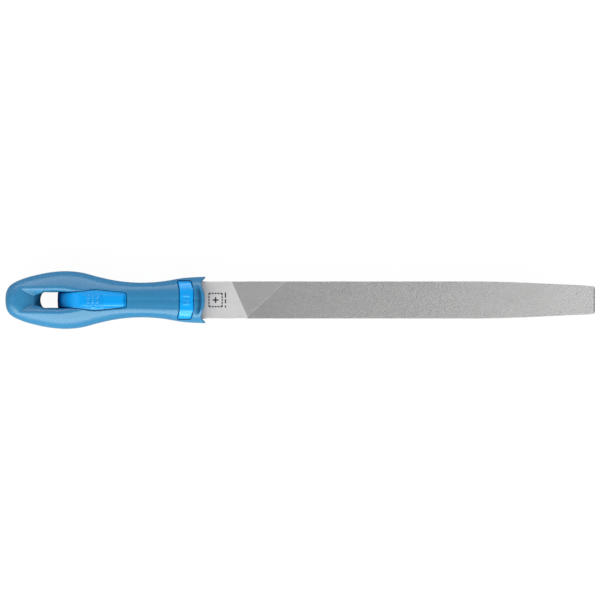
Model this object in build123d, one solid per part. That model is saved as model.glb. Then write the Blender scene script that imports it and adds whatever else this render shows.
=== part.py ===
"""A flat hand file with its two-component plastic handle, in the three pieces that it comes apart into.

file         one forging in hardened steel: blade, smooth heel and tang
handle_core  hard moulding that holds the tang, and shows as tongues, size bands and the nose in the slot
handle_grip  softer jacket moulded over the core, with the collar, the hang slot and the rear bridge

Millimetres. X runs along the tool from the butt of the handle to the tip of the blade, Y is the blade's
width and Z its thickness. The origin is the centre of the whole tool. A station s is a distance along the
tool, measured from the butt.
"""

from build123d import *
import math
import os

# Whole tool
OVERALL_LENGTH = 383.0
TALL = 40.0  # a height above and below the axis that clears the whole tool
OVERRUN = 1.0  # how far a cutter runs on past the face it opens
NEAR = 0.01  # two stations closer than this are the same

# Blade. The cut faces stand TOOTH_RISE proud of the smooth heel, so BLADE_THICKNESS is over the teeth.
SHOULDER_S = 126.0
BLADE_WIDTH = 24.2
BLADE_THICKNESS = 6.0
TOOTH_RISE = 0.1
TAPER_S = 300.0  # the blade starts to taper here, on an arc, in width and in thickness
TAPER_ARC_LENGTH = 40.0
TAPER_SLOPE = 0.047  # slope of each long edge past the arc
TIP_THICKNESS = 4.8
EDGE_CHAMFER = 0.5
TIP_CORNER_RADIUS = 1.6
TIP_CHAMFER = 0.5
CUT_START_S = 153.0  # where the cut starts, on the axis
CUT_START_ANGLE = 66.0  # of that line to the axis, seen square on to either face

# Tang
TANG_LENGTH = 62.0
TANG_ROOT_WIDTH = 11.5
TANG_ROOT_THICKNESS = 5.2
TANG_POINT_WIDTH = 4.4
TANG_POINT_THICKNESS = 3.2

# Handle outline: station, half width, half height, and half width of the flat along the top and the bottom
HANDLE_STATIONS = (
    (11.0, 13.65, 10.6, 3.4),
    (20.0, 16.25, 12.4, 4.2),
    (30.0, 18.15, 13.6, 4.8),
    (39.5, 18.8, 14.0, 5.0),
    (50.0, 17.8, 13.5, 5.0),
    (60.0, 15.2, 12.4, 5.0),
    (72.0, 12.65, 11.1, 5.2),
    (89.0, 11.33, 10.2, 5.5),
    (102.0, 12.15, 10.6, 5.8),
    (115.0, 14.25, 11.6, 6.2),
    (132.0, 15.3, 12.9, 6.6),
)
# The butt is about an ellipsoid: its half axes, and the angles round it at which sections are taken
BUTT_DEPTH = 8.0
BUTT_HALF_WIDTH = 11.6
BUTT_HALF_HEIGHT = 9.2
BUTT_FLAT = 2.9
BUTT_ANGLES = (10.0, 25.0, 40.0, 54.0, 68.0)
BUTT_POWER = 0.85  # below 1 the butt is blunter than an ellipsoid
CREASE_REACH = 1.5  # how far the soft crease beside the flat reaches to either side of it
CREASE_SHARE = 0.45  # the most of the flat's half width that the crease takes up
SIDE_SLOPE = 24.0  # of the sides where they leave the flat

# Hang slot, right through the handle
SLOT_HALF_WIDTH = 5.0
SLOT_REAR_S = 23.1
SLOT_REAR_RADIUS = 7.6

# Mouth of the slot: walls at 45 degrees. Station and half width of its opening in the handle's skin
MOUTH_STATIONS = ((4.0, 7.6), (14.0, 7.7), (26.0, 7.75), (38.0, 7.7), (46.0, 6.5), (54.0, 4.6))
MOUTH_RISE = 4.0  # how far the mouth's cutter stands over the skin

# Rear bridge: a ramp that runs down to a lip, then a steep rounded nose into the slot
BRIDGE_S = 5.5
BRIDGE_HALF_HEIGHT = 9.1
BRIDGE_LIP_S = 19.3
BRIDGE_LIP_HALF_HEIGHT = 6.1
BRIDGE_LIP_RADIUS = 1.6
BRIDGE_NOSE_HALF_HEIGHT = 1.25
BRIDGE_LIP_HALF_WIDTH = 2.9

# Core
CORE_SET_BACK = 0.12  # the core's windows lie this far below the jacket's skin
GAP_WIDTH = 0.5  # groove round each window
GAP_DEPTH = 0.9
TONGUE_END_GAP = 1.6
NOSE_S = 33.8
NOSE_REACH = 24.0
NOSE_HALF_HEIGHT = 14.0
NOSE_FACE_RADIUS = 28.0
TONGUE_NECK_S = 46.0
TONGUE_WIDE_S = 58.0
TONGUE_END_S = 77.8
TONGUE_HALF_WIDTH = 6.6
TONGUE_END_HALF_WIDTH = 4.8
TONGUE_NECK_RADIUS = 30.0
TONGUE_WIDE_RADIUS = 14.0
TONGUE_CORNER_RADIUS = 1.7

# Size band: straight across the flat, swept back over the sides
BAND_REAR_S = 113.6
BAND_FRONT_S = 122.5
BAND_FLAT = 6.4
BAND_HALF_WIDTH = 12.2
BAND_SWEEP = 1.4
BAND_FRONT_SWEEP = 1.7
BAND_KINK_RADIUS = 9.0
BAND_CORNER_RADIUS = 0.7

# Inside of the core
BEAM_START_S = 56.0
BEAM_HALF_WIDTH = 7.8
BEAM_HALF_HEIGHT = 7.0
CORE_FRONT_S = 125.9
SEAT_START_S = 119.0
SEAT_HALF_WIDTH = 12.7
SEAT_HALF_HEIGHT = 5.0

# Socket for the tang: a loose tapered hollow whose crush ribs reach to the tang
SOCKET_CLEARANCE = 0.6
RIB_CLEARANCE = 0.04
RIB_WIDTH = 1.0
SOCKET_END_GAP = 2.0

# Collar
POCKET_CLEARANCE = 0.35  # round the blade's heel
LIP_S = 127.1  # groove behind the collar's lip
LIP_RADIUS = 24.0
LIP_HALF_WIDTH = 8.6
LIP_GROOVE_RADIUS = 0.9
LIP_GROOVE_RISE = 0.3  # the groove's round section is centred this far above the skin
# Front edge of the collar seen from above: station and distance from the axis
COLLAR_EDGE = (
    (129.9, 0.0),
    (129.3, 4.8),
    (127.9, 9.0),
    (127.5, 11.2),
    (128.3, 13.0),
    (129.9, 14.6),
    (130.5, 17.0),
)


def x_at(s):
    """X of a station."""
    return s - OVERALL_LENGTH / 2


def mirrored_pair(shape):
    """A shape together with its twin on the other side of the tool, turned half a turn about the axis."""
    return shape + shape.rotate(Axis.X, 180)


def both_sides(points):
    """A closed outline in plan from its +Y half, given as stations and half widths from rear to front."""
    upper = [(x_at(s), y) for s, y in points]
    lower = [(x, -y) for x, y in reversed(upper)]
    return Polyline(*upper, *lower, close=True)


def through(face):
    """A plan outline run right through the tool's thickness."""
    return extrude(face, TALL, both=True)


def rounded(face, radii):
    """A plan face with its corners rounded: radii holds pairs of a station and the radius there."""
    for s, radius in radii:
        corners = [v for v in face.vertices() if abs(v.X - x_at(s)) < NEAR]
        face = fillet(corners, radius)
    return face


# Handle's outer form


def section(s, half_width, half_height, flat):
    """One cross-section: flats above and below, a soft crease beside each, and sides that roll over."""
    reach = min(CREASE_REACH, CREASE_SHARE * flat)
    slope = math.tan(math.radians(SIDE_SLOPE))
    crease_end = (flat + reach, half_height - reach * slope)
    pull = (half_width - flat - reach) / 2
    shoulder = (crease_end[0] + pull, crease_end[1] - pull * slope)
    crease = ((flat - reach, half_height), (flat, half_height), crease_end)
    side = (crease_end, shoulder, (half_width, half_height / 2), (half_width, 0.0))

    def curve(points, y_sign, z_sign):
        return Bezier(*[(x_at(s), y * y_sign, z * z_sign) for y, z in points])

    def level(z, y_sign):
        edge_y = crease[0][0] * y_sign
        return Line((x_at(s), -edge_y, z), (x_at(s), edge_y, z))

    edges = [level(half_height, 1), curve(crease, 1, 1), curve(side, 1, 1)]
    edges += [curve(side[::-1], 1, -1), curve(crease[::-1], 1, -1), level(-half_height, -1)]
    edges += [curve(crease, -1, -1), curve(side, -1, -1)]
    edges += [curve(side[::-1], -1, 1), curve(crease[::-1], -1, 1)]
    return Wire(edges)


def handle_sections():
    """The station, half width, half height and half flat of each cross-section, from the butt forwards."""
    sections = []
    for degrees in BUTT_ANGLES:
        angle = math.radians(degrees)
        bulk = math.sin(angle) ** BUTT_POWER
        station = BUTT_DEPTH * (math.cos(math.radians(BUTT_ANGLES[0])) - math.cos(angle))
        sections.append((station, BUTT_HALF_WIDTH * bulk, BUTT_HALF_HEIGHT * bulk, BUTT_FLAT * bulk))
    return [*sections, *HANDLE_STATIONS]


def envelope(inset=0.0):
    """The handle's outer form, or the same form with its skin moved in by inset."""
    wires = [section(s, width - inset, height - inset, flat) for s, width, height, flat in handle_sections()]
    return Solid.make_loft(wires)


def skin_height(s, y):
    """About how high the skin stands over the axis at a station, at y from the middle."""
    sections = handle_sections()
    rear, front = next(pair for pair in zip(sections, sections[1:]) if s <= pair[1][0])
    share = (s - rear[0]) / (front[0] - rear[0])
    height = rear[2] + share * (front[2] - rear[2])
    flat = rear[3] + share * (front[3] - rear[3])
    return height - max(0.0, y - flat) * math.tan(math.radians(SIDE_SLOPE))


# Cutters for the jacket


def slot_corner():
    """Station and half width of the slot's rear corners."""
    depth = SLOT_REAR_RADIUS - math.sqrt(SLOT_REAR_RADIUS**2 - SLOT_HALF_WIDTH**2)
    return SLOT_REAR_S + depth, SLOT_HALF_WIDTH


def slot():
    """The hang slot, run on forwards under the tongue."""
    corner_x = x_at(slot_corner()[0])
    rear = ThreePointArc((corner_x, -SLOT_HALF_WIDTH), (x_at(SLOT_REAR_S), 0), (corner_x, SLOT_HALF_WIDTH))
    front_x = x_at(TONGUE_NECK_S)
    sides = Polyline(rear @ 1, (front_x, SLOT_HALF_WIDTH), (front_x, -SLOT_HALF_WIDTH), rear @ 0)
    return through(make_face([rear, sides]))


def bridge():
    """The rear bridge's side view, run across the tool."""
    ramp = (BRIDGE_S, BRIDGE_HALF_HEIGHT)
    lip = (BRIDGE_LIP_S, BRIDGE_LIP_HALF_HEIGHT)
    nose = (SLOT_REAR_S, BRIDGE_NOSE_HALF_HEIGHT)
    side = make_face(both_sides([(-BRIDGE_S, BRIDGE_HALF_HEIGHT), ramp, lip, nose]))
    side = rounded(side, ((BRIDGE_LIP_S, BRIDGE_LIP_RADIUS), (SLOT_REAR_S, BRIDGE_NOSE_HALF_HEIGHT)))
    return extrude(Plane.XZ * side, TALL, both=True)


def mouth():
    """The slot's flared mouth in the upper side, down to the rear bridge."""
    wedges = []
    for s, half_width in MOUTH_STATIONS:
        height = skin_height(s, half_width)
        top, reach = height + MOUTH_RISE, half_width + MOUTH_RISE
        corners = ((reach, top), (-reach, top), (0.0, height - half_width))
        wedges.append(Wire.make_polygon([Vector(x_at(s), y, z) for y, z in corners]))
    trough = Solid.make_loft(wedges)
    well_sides = [(s, BRIDGE_LIP_HALF_WIDTH) for s in (BRIDGE_S, BRIDGE_LIP_S)]
    well = make_face(both_sides([*well_sides, slot_corner()]))
    return (trough + extrude(well, TALL)) - bridge()


def collar_front():
    """Everything in front of the collar's wavy front edge."""
    half = [(x_at(s), y) for s, y in COLLAR_EDGE]
    other_half = [(x, -y) for x, y in reversed(half[1:])]
    edge = Spline(*other_half, *half)
    beyond = x_at(OVERALL_LENGTH)
    rest = Polyline(edge @ 1, (beyond, TALL), (beyond, -TALL), edge @ 0)
    return through(make_face([edge, rest]))


def lip_groove():
    """The curved groove behind the collar's lip, in the upper side."""
    half_angle = math.degrees(math.asin(LIP_HALF_WIDTH / LIP_RADIUS))
    centre = x_at(LIP_S) - LIP_RADIUS
    height = skin_height(LIP_S, 0) + LIP_GROOVE_RISE
    path = CenterArc((centre, 0, height), LIP_RADIUS, -half_angle, 2 * half_angle)
    return sweep(Plane(path @ 0, z_dir=path % 0) * Circle(LIP_GROOVE_RADIUS), path)


# Outlines of the core's windows


def tongue_face(gap=0.0, end_gap=0.0):
    """Plan of a tongue from the slot to its rounded end, or of the window round it."""
    end_s = TONGUE_END_S + end_gap
    neck = (TONGUE_NECK_S, SLOT_HALF_WIDTH)
    wide = (TONGUE_WIDE_S, TONGUE_HALF_WIDTH + gap)
    end = (end_s, TONGUE_END_HALF_WIDTH + gap)
    face = make_face(both_sides([(NOSE_S, SLOT_HALF_WIDTH), neck, wide, end]))
    corner = TONGUE_CORNER_RADIUS + end_gap / 2
    radii = ((TONGUE_NECK_S, TONGUE_NECK_RADIUS), (TONGUE_WIDE_S, TONGUE_WIDE_RADIUS), (end_s, corner))
    return rounded(face, radii)


def band_face(gap=0.0):
    """Plan of the size band, or of the window round it."""
    rear, front = BAND_REAR_S - gap, BAND_FRONT_S + gap
    width = BAND_HALF_WIDTH + gap
    rear_corner, front_corner = rear - BAND_SWEEP, front - BAND_FRONT_SWEEP
    points = [(rear, BAND_FLAT), (rear_corner, width), (front_corner, width), (front, BAND_FLAT)]
    kinks = ((rear, BAND_KINK_RADIUS), (front, BAND_KINK_RADIUS))
    corners = ((rear_corner, BAND_CORNER_RADIUS), (front_corner, BAND_CORNER_RADIUS))
    return rounded(make_face(both_sides(points)), kinks + corners)


def nose_side():
    """The core's side view run across the tool: a half ellipse for a nose, then plain."""
    centre = x_at(NOSE_S + NOSE_REACH)
    length = CORE_FRONT_S - NOSE_S - NOSE_REACH
    with BuildSketch(Plane.XZ) as side:
        with Locations((centre, 0)):
            Ellipse(NOSE_REACH, NOSE_HALF_HEIGHT)
            Rectangle(length, 2 * NOSE_HALF_HEIGHT, align=(Align.MIN, Align.CENTER))
    return extrude(side.sketch, TALL, both=True)


def nose_front():
    """Everything in front of the nose's slightly bulging face, in plan."""
    centre = x_at(NOSE_S) + NOSE_FACE_RADIUS
    disc = Pos(centre, 0) * Circle(NOSE_FACE_RADIUS)
    rest = Rectangle(OVERALL_LENGTH, 2 * NOSE_FACE_RADIUS, align=(Align.MIN, Align.CENTER))
    return through(disc + Pos(centre, 0) * rest)


# File


def block(rear_s, front_s, half_width, half_height):
    """A box along the tool's axis between two stations."""
    size = (front_s - rear_s, 2 * half_width, 2 * half_height)
    return Pos(x_at(rear_s), 0, 0) * Box(*size, align=(Align.MIN, Align.CENTER, Align.CENTER))


def blade_outline(half_size, slope):
    """Half outline of the blade: straight, then an arc into a straight taper of the given slope."""
    arc_drop = TAPER_ARC_LENGTH * slope / 2
    arc_end = TAPER_S + TAPER_ARC_LENGTH
    tip = half_size - arc_drop - slope * (OVERALL_LENGTH - arc_end)
    near = (x_at(TAPER_S), half_size)
    far = (x_at(arc_end), half_size - arc_drop)
    straight = Line((x_at(SHOULDER_S), half_size), near)
    curve = Spline(near, far, tangents=((1, 0), (1, -slope)))
    taper = Line(far, (x_at(OVERALL_LENGTH), tip))
    half = [straight, curve, taper]
    other_half = [edge.mirror(Plane.XZ) for edge in half]
    ends = [Line(half[0] @ 0, other_half[0] @ 0), Line(half[2] @ 1, other_half[2] @ 1)]
    return make_face(half + other_half + ends)


def heel_relief():
    """What is taken off the upper face behind the slanted start of the cut, to leave the heel smooth."""
    level = BLADE_THICKNESS / 2 - TOOTH_RISE
    lean = BLADE_WIDTH / math.tan(math.radians(CUT_START_ANGLE))
    upper = (x_at(CUT_START_S) - lean, BLADE_WIDTH)
    lower = (x_at(CUT_START_S) + lean, -BLADE_WIDTH)
    rear = x_at(SHOULDER_S) - OVERRUN
    heel = make_face(Polyline((rear, BLADE_WIDTH), upper, lower, (rear, -BLADE_WIDTH), close=True))
    return extrude(Pos(0, 0, level) * heel, TALL)


def tang(clearance=0.0, end_gap=0.0):
    """The tapered tang from the shoulder to its point, or the same grown by a clearance."""
    root = Rectangle(TANG_ROOT_WIDTH + 2 * clearance, TANG_ROOT_THICKNESS + 2 * clearance)
    point = Rectangle(TANG_POINT_WIDTH + 2 * clearance, TANG_POINT_THICKNESS + 2 * clearance)
    point_x = x_at(SHOULDER_S - TANG_LENGTH - end_gap)
    return loft([Plane.YZ.offset(point_x) * point, Plane.YZ.offset(x_at(SHOULDER_S)) * root])


def make_file():
    """The blade with its tang."""
    taper_length = OVERALL_LENGTH - TAPER_S - TAPER_ARC_LENGTH / 2
    thickness_slope = (BLADE_THICKNESS - TIP_THICKNESS) / 2 / taper_length
    plan = blade_outline(BLADE_WIDTH / 2, TAPER_SLOPE)
    plan = fillet(plan.vertices().group_by(Axis.X)[-1], TIP_CORNER_RADIUS)
    side = blade_outline(BLADE_THICKNESS / 2, thickness_slope)
    side = chamfer(side.vertices().group_by(Axis.X)[-1], TIP_CHAMFER)
    blade = through(plan) & extrude(Plane.XZ * side, TALL, both=True)
    long_edges = [e for e in blade.edges() if e.length > TAPER_ARC_LENGTH / 2]
    blade = chamfer(long_edges, EDGE_CHAMFER)
    blade -= mirrored_pair(heel_relief())
    return blade + tang()


# Handle


def core_inside():
    """The part of the core that lies hidden: a beam round the socket and a seat behind the shoulder."""
    beam = block(BEAM_START_S, CORE_FRONT_S, BEAM_HALF_WIDTH, BEAM_HALF_HEIGHT)
    seat = block(SEAT_START_S, CORE_FRONT_S, SEAT_HALF_WIDTH, SEAT_HALF_HEIGHT)
    return beam + seat


def socket():
    """The hollow that takes the tang."""
    wide = tang(SOCKET_CLEARANCE, SOCKET_END_GAP)
    length = BEAM_START_S, CORE_FRONT_S + OVERRUN
    ribs = block(*length, RIB_WIDTH / 2, TALL) + block(*length, TALL, RIB_WIDTH / 2)
    return (wide - ribs) + tang(RIB_CLEARANCE, SOCKET_END_GAP)


def make_core():
    """The hard moulding."""
    windows = through(tongue_face(GAP_WIDTH, TONGUE_END_GAP)) + through(band_face(GAP_WIDTH))
    panels = through(tongue_face()) + through(band_face())
    body = core_inside() + (windows & envelope(GAP_DEPTH)) + (panels & envelope(CORE_SET_BACK))
    return (body & nose_side() & nose_front()) - socket()


def make_grip():
    """The soft jacket."""
    grip = envelope() - slot() - mirrored_pair(mouth())
    grip -= through(tongue_face(GAP_WIDTH, TONGUE_END_GAP)) + through(band_face(GAP_WIDTH))
    grip -= core_inside()
    pocket = BLADE_WIDTH / 2 + POCKET_CLEARANCE, BLADE_THICKNESS / 2 + POCKET_CLEARANCE
    grip -= block(SEAT_START_S, OVERALL_LENGTH, *pocket)
    return grip - collar_front() - mirrored_pair(lip_groove())


def main():
    os.makedirs("parts", exist_ok=True)
    pieces = {"file": make_file(), "handle_core": make_core(), "handle_grip": make_grip()}
    for name, piece in pieces.items():
        box = piece.bounding_box()
        print(name, piece.is_valid, len(piece.solids()), round(piece.volume), box.min, box.max)
        export_step(piece, f"parts/{name}.step")


main()
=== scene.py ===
"""The flat hand file as it looks: a cut steel blade in a two-shot plastic handle.

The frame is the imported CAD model. Three pieces here each stand for one of its nodes, keep about to that
node's sizes and ride on its body. The fourth is the sign on the blade's heel. Sizes are in millimetres in the
frame's axes until a mesh is written: X runs from the butt of the handle to the tip of the blade and Z is up,
square to the blade's faces. A station s is a distance along the tool, from the butt.
"""

import math

import bmesh
import bpy
import numpy as np
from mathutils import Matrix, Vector


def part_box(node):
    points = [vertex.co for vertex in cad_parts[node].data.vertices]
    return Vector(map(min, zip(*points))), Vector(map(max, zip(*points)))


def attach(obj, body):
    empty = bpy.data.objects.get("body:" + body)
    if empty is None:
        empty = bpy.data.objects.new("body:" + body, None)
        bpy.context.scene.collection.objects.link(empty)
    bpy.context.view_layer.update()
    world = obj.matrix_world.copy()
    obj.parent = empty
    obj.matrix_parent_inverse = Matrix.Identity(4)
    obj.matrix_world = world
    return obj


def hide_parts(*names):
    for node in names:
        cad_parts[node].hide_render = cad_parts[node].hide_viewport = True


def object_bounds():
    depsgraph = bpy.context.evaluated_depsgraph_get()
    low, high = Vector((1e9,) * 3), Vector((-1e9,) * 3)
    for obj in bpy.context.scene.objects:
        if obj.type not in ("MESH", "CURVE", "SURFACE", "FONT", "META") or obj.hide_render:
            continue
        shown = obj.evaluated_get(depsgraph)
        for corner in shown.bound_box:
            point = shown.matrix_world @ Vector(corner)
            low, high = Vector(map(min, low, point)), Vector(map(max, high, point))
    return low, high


MM = 0.001
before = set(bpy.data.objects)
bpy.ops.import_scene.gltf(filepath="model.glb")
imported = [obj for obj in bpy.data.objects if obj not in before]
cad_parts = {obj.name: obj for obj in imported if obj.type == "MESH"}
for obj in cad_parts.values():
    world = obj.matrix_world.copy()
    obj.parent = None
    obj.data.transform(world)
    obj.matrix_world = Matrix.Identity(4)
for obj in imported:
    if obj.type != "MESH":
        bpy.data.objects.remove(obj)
cad_low, cad_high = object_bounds()
file_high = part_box("file")[1]
BUTT_X = cad_low.x / MM
TIP_X = cad_high.x / MM


def x_at(s):
    """X of a station."""
    return BUTT_X + s


# Smooth fields. A field is negative inside a solid and is about the distance to its surface.


def round_max(a, b, k):
    """Where two solids overlap, with their common edge rounded over about k."""
    blend = np.maximum(k - np.abs(a - b), 0.0)
    return np.maximum(a, b) + blend * blend / (4 * k)


def round_min(a, b, k):
    """Two solids as one, with a fillet of about k between them."""
    return -round_max(-a, -b, k)


def smooth_step(edge0, edge1, value):
    share = np.clip((value - edge0) / (edge1 - edge0), 0.0, 1.0)
    return share * share * (3 - 2 * share)


def curve_through(stations, values, s):
    """A smooth curve through values at stations, read at s."""
    stations = np.asarray(stations, float)
    values = np.asarray(values, float)
    slopes = np.gradient(values, stations)
    index = np.clip(np.searchsorted(stations, s) - 1, 0, len(stations) - 2)
    span = stations[index + 1] - stations[index]
    t = np.clip((s - stations[index]) / span, 0.0, 1.0)
    rise = values[index + 1] - values[index]
    bend_in = slopes[index] * span - rise
    bend_out = rise - slopes[index + 1] * span
    return values[index] + t * rise + t * (1 - t) * ((1 - t) * bend_in + t * bend_out)


def surface_net(field, origin, step):
    """Corners and four-sided faces of the surface where a field on a regular grid changes sign."""
    solid = field < 0
    cells = tuple(n - 1 for n in field.shape)
    offsets = [(i, j, k) for i in (0, 1) for j in (0, 1) for k in (0, 1)]

    def corner(array, offset):
        return array[tuple(slice(o, o + n) for o, n in zip(offset, cells))]

    filled = sum(corner(solid, offset).astype(np.int8) for offset in offsets)
    where = np.nonzero((filled > 0) & (filled < 8))
    values = np.stack([corner(field, offset)[where] for offset in offsets], axis=1)
    total = np.zeros((len(values), 3))
    crossings = np.zeros(len(values))
    for a in range(8):
        for b in range(a + 1, 8):
            start, end = np.array(offsets[a]), np.array(offsets[b])
            if np.abs(end - start).sum() != 1:
                continue
            va, vb = values[:, a], values[:, b]
            crossed = (va < 0) != (vb < 0)
            share = np.where(crossed, va / np.where(crossed, va - vb, 1.0), 0.0)
            total += np.where(crossed[:, None], start + share[:, None] * (end - start), 0.0)
            crossings += crossed
    points = origin + step * (np.stack(where, axis=1) + total / crossings[:, None])
    number = np.full(cells, -1, np.int64)
    number[where] = np.arange(len(points))
    quads = []
    for axis in range(3):
        side, other = (axis + 1) % 3, (axis + 2) % 3
        lower = [slice(1, -1)] * 3
        upper = [slice(1, -1)] * 3
        lower[axis], upper[axis] = slice(0, -1), slice(1, None)
        before, after = solid[tuple(lower)], solid[tuple(upper)]
        edge = np.array(np.nonzero(before != after))
        leaving = before[tuple(edge)]
        edge[side] += 1
        edge[other] += 1
        around = []
        for step_side, step_other in ((-1, -1), (0, -1), (0, 0), (-1, 0)):
            cell = edge.copy()
            cell[side] += step_side
            cell[other] += step_other
            around.append(number[tuple(cell)])
        ring = np.stack(around, axis=1)
        quads.append(np.where(leaving[:, None], ring, ring[:, ::-1]))
    return points, np.concatenate(quads)


def quad_mesh(name, points, quads):
    """A Blender mesh from corners in millimetres and four-sided faces."""
    mesh = bpy.data.meshes.new(name)
    mesh.vertices.add(len(points))
    mesh.vertices.foreach_set("co", (points * MM).astype(np.float32).ravel())
    mesh.loops.add(quads.size)
    mesh.loops.foreach_set("vertex_index", quads.astype(np.int32).ravel())
    mesh.polygons.add(len(quads))
    mesh.polygons.foreach_set("loop_start", np.arange(0, quads.size, 4, dtype=np.int32))
    mesh.update(calc_edges=True)
    mesh.validate()
    return mesh


def add_object(name, mesh, body, *materials):
    """Puts a mesh in the scene as a piece that rides on a body."""
    piece = bpy.data.objects.new(name, mesh)
    bpy.context.scene.collection.objects.link(piece)
    for material in materials:
        mesh.materials.append(material)
    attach(piece, body)
    return piece


def thin(piece, triangles):
    """Merges the smallest faces of a piece until about that many triangles are left, and shades it smooth."""
    now = sum(len(p.vertices) - 2 for p in piece.data.polygons)
    if now > triangles:
        modifier = piece.modifiers.new("thin", "DECIMATE")
        modifier.ratio = triangles / now
        graph = bpy.context.evaluated_depsgraph_get()
        mesh = bpy.data.meshes.new_from_object(piece.evaluated_get(graph))
        piece.modifiers.remove(modifier)
        old, piece.data = piece.data, mesh
        bpy.data.meshes.remove(old)
    piece.data.shade_smooth()


# Handle: the CAD model's driving sizes. The slot's draft, the tongue's crown, the skin's inset and the
# roundings are this model's own. A pair is a station and a half width unless it says otherwise.

SECTIONS = (
    # station, half width, half height, half width of the flat along the top and the bottom
    (11.0, 13.65, 10.6, 3.4),
    (20.0, 16.25, 12.4, 4.2),
    (30.0, 18.15, 13.6, 4.8),
    (39.5, 18.8, 14.0, 5.0),
    (50.0, 17.8, 13.5, 5.0),
    (60.0, 15.2, 12.4, 5.0),
    (72.0, 12.65, 11.1, 5.2),
    (89.0, 11.33, 10.2, 5.5),
    (102.0, 12.15, 10.6, 5.8),
    (115.0, 14.25, 11.6, 6.2),
    (132.0, 15.3, 12.9, 6.6),
)
BUTT_DEPTH = 8.0
BUTT_SIZES = (11.6, 9.2, 2.9)  # half width, half height, half flat
BUTT_ANGLES = (54.0, 68.0)
BUTT_POWER = 0.85
CREASE_REACH = 1.1
SIDE_SLOPE = math.tan(math.radians(24.0))
SLOT_HALF_WIDTH = 5.0
SLOT_DRAFT = 0.06
SLOT_REAR_S = 23.1
SLOT_REAR_RADIUS = 7.6
MOUTH = ((4.0, 7.6), (14.0, 7.7), (26.0, 7.75), (38.0, 7.7), (46.0, 6.5), (54.0, 4.6))
RAMP_START = (5.5, 9.1)  # station, height, as are the next two
RAMP_LIP = (19.3, 6.1)
NOSE_STEP = (21.8, 3.2)
RAMP_LIP_HALF_WIDTH = 2.9
NOSE_S = 33.8
NOSE_REACH = 24.0
NOSE_HALF_HEIGHT = 14.0
NOSE_FACE_RADIUS = 28.0
TONGUE_NECK = (46.0, 5.0)
TONGUE_WIDE = (58.0, 6.6)
TONGUE_END = (77.8, 4.8)
TONGUE_END_GAP = 1.6
TONGUE_CUT_S = 90.0
TONGUE_CROWN = 0.035
NECK_OVERLAP = 0.15
WINDOW_GAP = 0.38
WINDOW_GAP_DEPTH = 0.8
BAND_GAP_DEPTH = 0.5
SKIN_INSET = 0.03
PANEL_SET_BACK = 0.12
BAND = (113.6, 122.5)  # first and last station
BAND_FLAT = 6.4
BAND_HALF_WIDTH = 12.2
BAND_SWEEP = (1.4, 1.7)  # of its rear edge and its front edge
BEAM = (56.0, 125.9, 7.8, 7.0)  # first and last station, half width, half height
SEAT = (119.0, 125.9, 12.7, 5.0)
POCKET = (12.45, 3.35)  # half width, half height
TANG_ROOT_S = 126.0
TANG_POINT_S = 64.0
TANG_ROOT = (11.5, 5.2)  # width, thickness
TANG_POINT = (4.4, 3.2)
SOCKET_CLEARANCE = 0.6
SOCKET_END_S = 62.0
RIB_HALF_WIDTH = 0.5
RIB_CLEARANCE = 0.12
LIP_S = 127.0
LIP_RADIUS = 24.0
LIP_HALF_WIDTH = 9.4
LIP_VALLEY_DEPTH = 2.1
LIP_FRONT_WIDTH = 0.7
COLLAR_EDGE = (
    # distance across from the axis, station of the collar's front edge
    (0.0, 129.9),
    (4.8, 129.3),
    (9.0, 127.9),
    (11.2, 127.5),
    (12.8, 128.2),
    (14.2, 129.8),
    (15.4, 130.3),
    (18.0, 130.4),
)

# Raised marks: rows of dots across the tongue, a line ahead of them, and bars on the band
DOT_PITCH = 1.55
DOT_HALF_WIDTH = 0.48
DOT_HALF_LENGTH = 0.95
DOT_COLUMNS = ((54.6, 4.2), (57.6, 5.0), (60.6, 4.2))  # station, how far across the dots reach
RAISED_LINE = (63.4, 0.35, 5.0)  # station, half length, how far across
BAND_BARS_S = 118.0
BAND_BARS_Y = (0.0, 2.6)
BAND_BAR = (2.2, 0.55)  # half length, half width
EMBOSS_HEIGHT = 0.3

GRID_STEP = 0.27
GRID_HALF_WIDTH = 19.4
GRID_HALF_HEIGHT = 14.6
GRID_ENDS = (-0.54, 132.6)
FILL = 0.04  # how far the floor of a gap stays clear of the gap's walls
EDGE_ROUND = 0.7
TONGUE_ROUND = 1.0
MOUTH_ROUND = 1.8
SLOT_ROUND = 0.9
GRIP_TRIANGLES = 180000
CORE_TRIANGLES = 110000


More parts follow.
